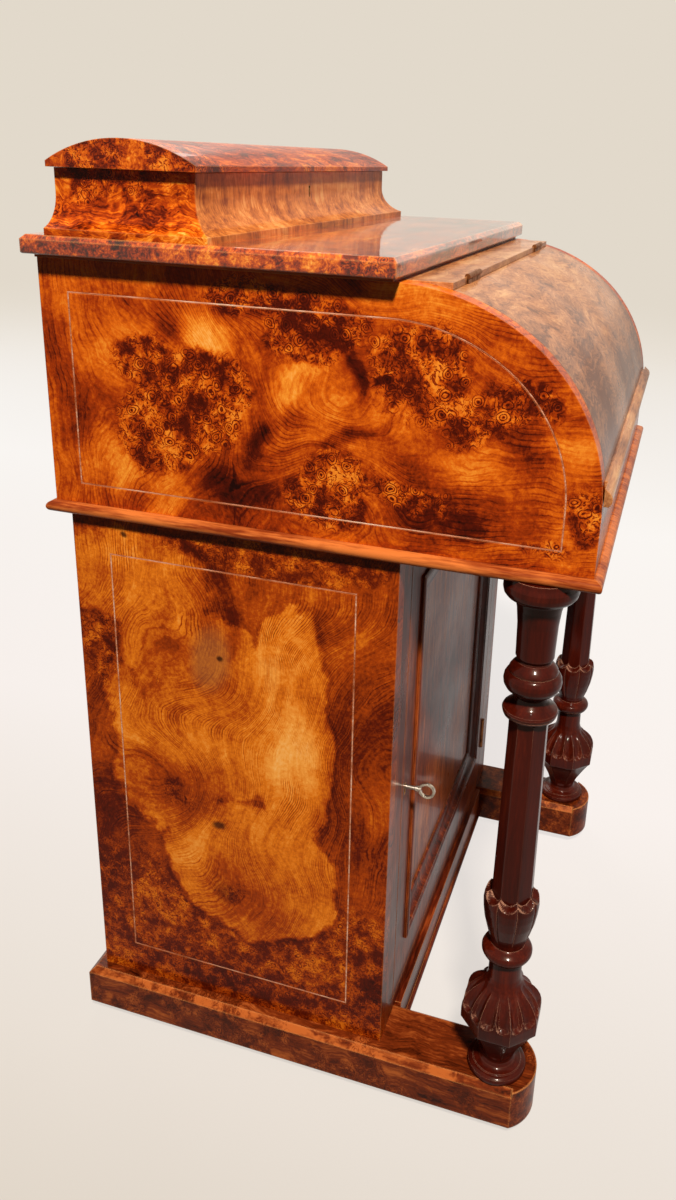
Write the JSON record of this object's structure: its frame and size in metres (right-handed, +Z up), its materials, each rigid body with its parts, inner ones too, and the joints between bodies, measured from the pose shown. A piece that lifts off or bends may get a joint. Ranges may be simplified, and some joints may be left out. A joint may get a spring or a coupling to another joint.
{
  "type": "davenport desk",
  "caption": "Small walnut writing desk on two sled feet with turned front columns, a curved fall over a writing slide, a knee cupboard and a lidded stationery box.",
  "frame": {"origin": "on the floor, at the middle of the desk's width and depth", "axes": "+Z up; the sitter is on the -Y side and faces +Y; -X is at the sitter's left"},
  "size_m": [0.5876, 0.544, 0.9858],
  "materials": {
    "burr_walnut": "high gloss french polish",
    "figured_walnut": "high gloss french polish",
    "light_walnut": "gloss",
    "dark_walnut": "gloss",
    "box_wood": "polished inlay",
    "pine": "matt, unpolished",
    "satin_walnut": "satin",
    "tooled_leather": "worn satin",
    "turned_knobs": "gloss",
    "castor_wheels": "worn brown glaze",
    "castor_brass": "worn",
    "steel": "bright",
    "brass": "aged"
  },
  "bodies": {
    "carcase": {"base_moulding": "light_walnut", "board_slip": "light_walnut", "box_back": "figured_walnut", "box_dividers": "satin_walnut", "box_ends": "figured_walnut", "box_front": "figured_walnut", "box_lock": "brass", "case_back": "pine", "case_bottom": "pine", "case_side_left": "burr_walnut", "case_side_right": "burr_walnut", "castor_plates": "castor_brass", "column_left": "dark_walnut", "column_right": "dark_walnut", "cupboard_floor": "pine", "cupboard_shelves": "pine", "face_frame": "dark_walnut", "front_rail": "figured_walnut", "hinge_rail": "figured_walnut", "hinges_fixed_leaves": "brass", "pedestal_back": "pine", "pedestal_side_left": "burr_walnut", "pedestal_side_right": "burr_walnut", "pigeonhole_boards": "satin_walnut", "pigeonhole_dividers": "satin_walnut", "plinth_rail_back": "dark_walnut", "plinth_rail_front": "dark_walnut", "sled_left": "dark_walnut", "sled_right": "dark_walnut", "slide_runners": "pine", "stringing": "box_wood", "top_back_rail": "pine", "top_board": "figured_walnut"},
    "fall": {"fall_shell": "burr_walnut", "fall_lip": "light_walnut", "fall_hinge_leaves": "brass"},
    "writing_slide": {"slide_board": "dark_walnut", "slide_leather": "tooled_leather", "slide_knobs": "turned_knobs"},
    "small_drawer_left": {"drawer_front_left": "satin_walnut", "drawer_box_left": "satin_walnut"},
    "small_drawer_right": {"drawer_front_right": "satin_walnut", "drawer_box_right": "satin_walnut"},
    "box_lid": {"box_lid": "figured_walnut", "lid_hinge_leaves": "brass"},
    "cupboard_door": {"door_frame": "dark_walnut", "door_moulding": "light_walnut", "door_panel": "figured_walnut", "door_hinge_leaves": "brass", "door_lock": "brass"},
    "door_key": {"key": "steel"},
    "bolt": {"lock_bolt": "steel"},
    "fork_front_left": {"castor_fork_front_left": "castor_brass"},
    "wheel_front_left": {"castor_wheel_front_left": "castor_wheels"},
    "fork_front_right": {"castor_fork_front_right": "castor_brass"},
    "wheel_front_right": {"castor_wheel_front_right": "castor_wheels"},
    "fork_back_left": {"castor_fork_back_left": "castor_brass"},
    "wheel_back_left": {"castor_wheel_back_left": "castor_wheels"},
    "fork_back_right": {"castor_fork_back_right": "castor_brass"},
    "wheel_back_right": {"castor_wheel_back_right": "castor_wheels"}
  },
  "joints": [
    {"name": "slide_pull", "type": "slide", "parent": "carcase", "child": "writing_slide", "axis": [0, -1, 0], "range_m": [0, 0.2198]},
    {"name": "fall_turn", "type": "hinge", "parent": "carcase", "child": "fall", "pos_m": [0, -0.123, 0.882], "axis": [-1, 0, 0], "range_deg": [0, 150]},
    {"name": "drawer_left_pull", "type": "slide", "parent": "carcase", "child": "small_drawer_left", "axis": [0, -1, 0], "range_m": [0, 0.14]},
    {"name": "drawer_right_pull", "type": "slide", "parent": "carcase", "child": "small_drawer_right", "axis": [0, -1, 0], "range_m": [0, 0.14]},
    {"name": "lid_turn", "type": "hinge", "parent": "carcase", "child": "box_lid", "pos_m": [0, 0.2519, 0.9599], "axis": [-1, 0, 0], "range_deg": [0, 100]},
    {"name": "door_swing", "type": "hinge", "parent": "carcase", "child": "cupboard_door", "pos_m": [0.22636, -0.093, 0.3345], "axis": [0, 0, 1], "range_deg": [0, 80]},
    {"name": "key_turn", "type": "hinge", "parent": "cupboard_door", "child": "door_key", "pos_m": [-0.21661, -0.092, 0.358], "axis": [0, -1, 0], "range_deg": [0, 90]},
    {"name": "bolt_throw", "type": "slide", "parent": "cupboard_door", "child": "bolt", "axis": [-1, 0, 0], "range_m": [0, 0.006]},
    {"name": "swivel_front_left", "type": "hinge", "parent": "carcase", "child": "fork_front_left", "pos_m": [-0.2507, -0.199, 0.024], "axis": [0, 0, 1], "continuous": true},
    {"name": "roll_front_left", "type": "hinge", "parent": "fork_front_left", "child": "wheel_front_left", "pos_m": [-0.2507, -0.19, 0.011], "axis": [1, 0, 0], "continuous": true},
    {"name": "swivel_front_right", "type": "hinge", "parent": "carcase", "child": "fork_front_right", "pos_m": [0.2507, -0.199, 0.024], "axis": [0, 0, 1], "continuous": true},
    {"name": "roll_front_right", "type": "hinge", "parent": "fork_front_right", "child": "wheel_front_right", "pos_m": [0.2507, -0.19, 0.011], "axis": [1, 0, 0], "continuous": true},
    {"name": "swivel_back_left", "type": "hinge", "parent": "carcase", "child": "fork_back_left", "pos_m": [-0.2507, 0.211, 0.024], "axis": [0, 0, 1], "continuous": true},
    {"name": "roll_back_left", "type": "hinge", "parent": "fork_back_left", "child": "wheel_back_left", "pos_m": [-0.2507, 0.22, 0.011], "axis": [1, 0, 0], "continuous": true},
    {"name": "swivel_back_right", "type": "hinge", "parent": "carcase", "child": "fork_back_right", "pos_m": [0.2507, 0.211, 0.024], "axis": [0, 0, 1], "continuous": true},
    {"name": "roll_back_right", "type": "hinge", "parent": "fork_back_right", "child": "wheel_back_right", "pos_m": [0.2507, 0.22, 0.011], "axis": [1, 0, 0], "continuous": true}
  ],
  "couplings": [
    {"joint": "fall_turn", "follows": "slide_pull", "rad_per_m": 11.9},
    {"joint": "key_turn", "follows": "bolt_throw", "rad_per_m": 261.8}
  ]
}
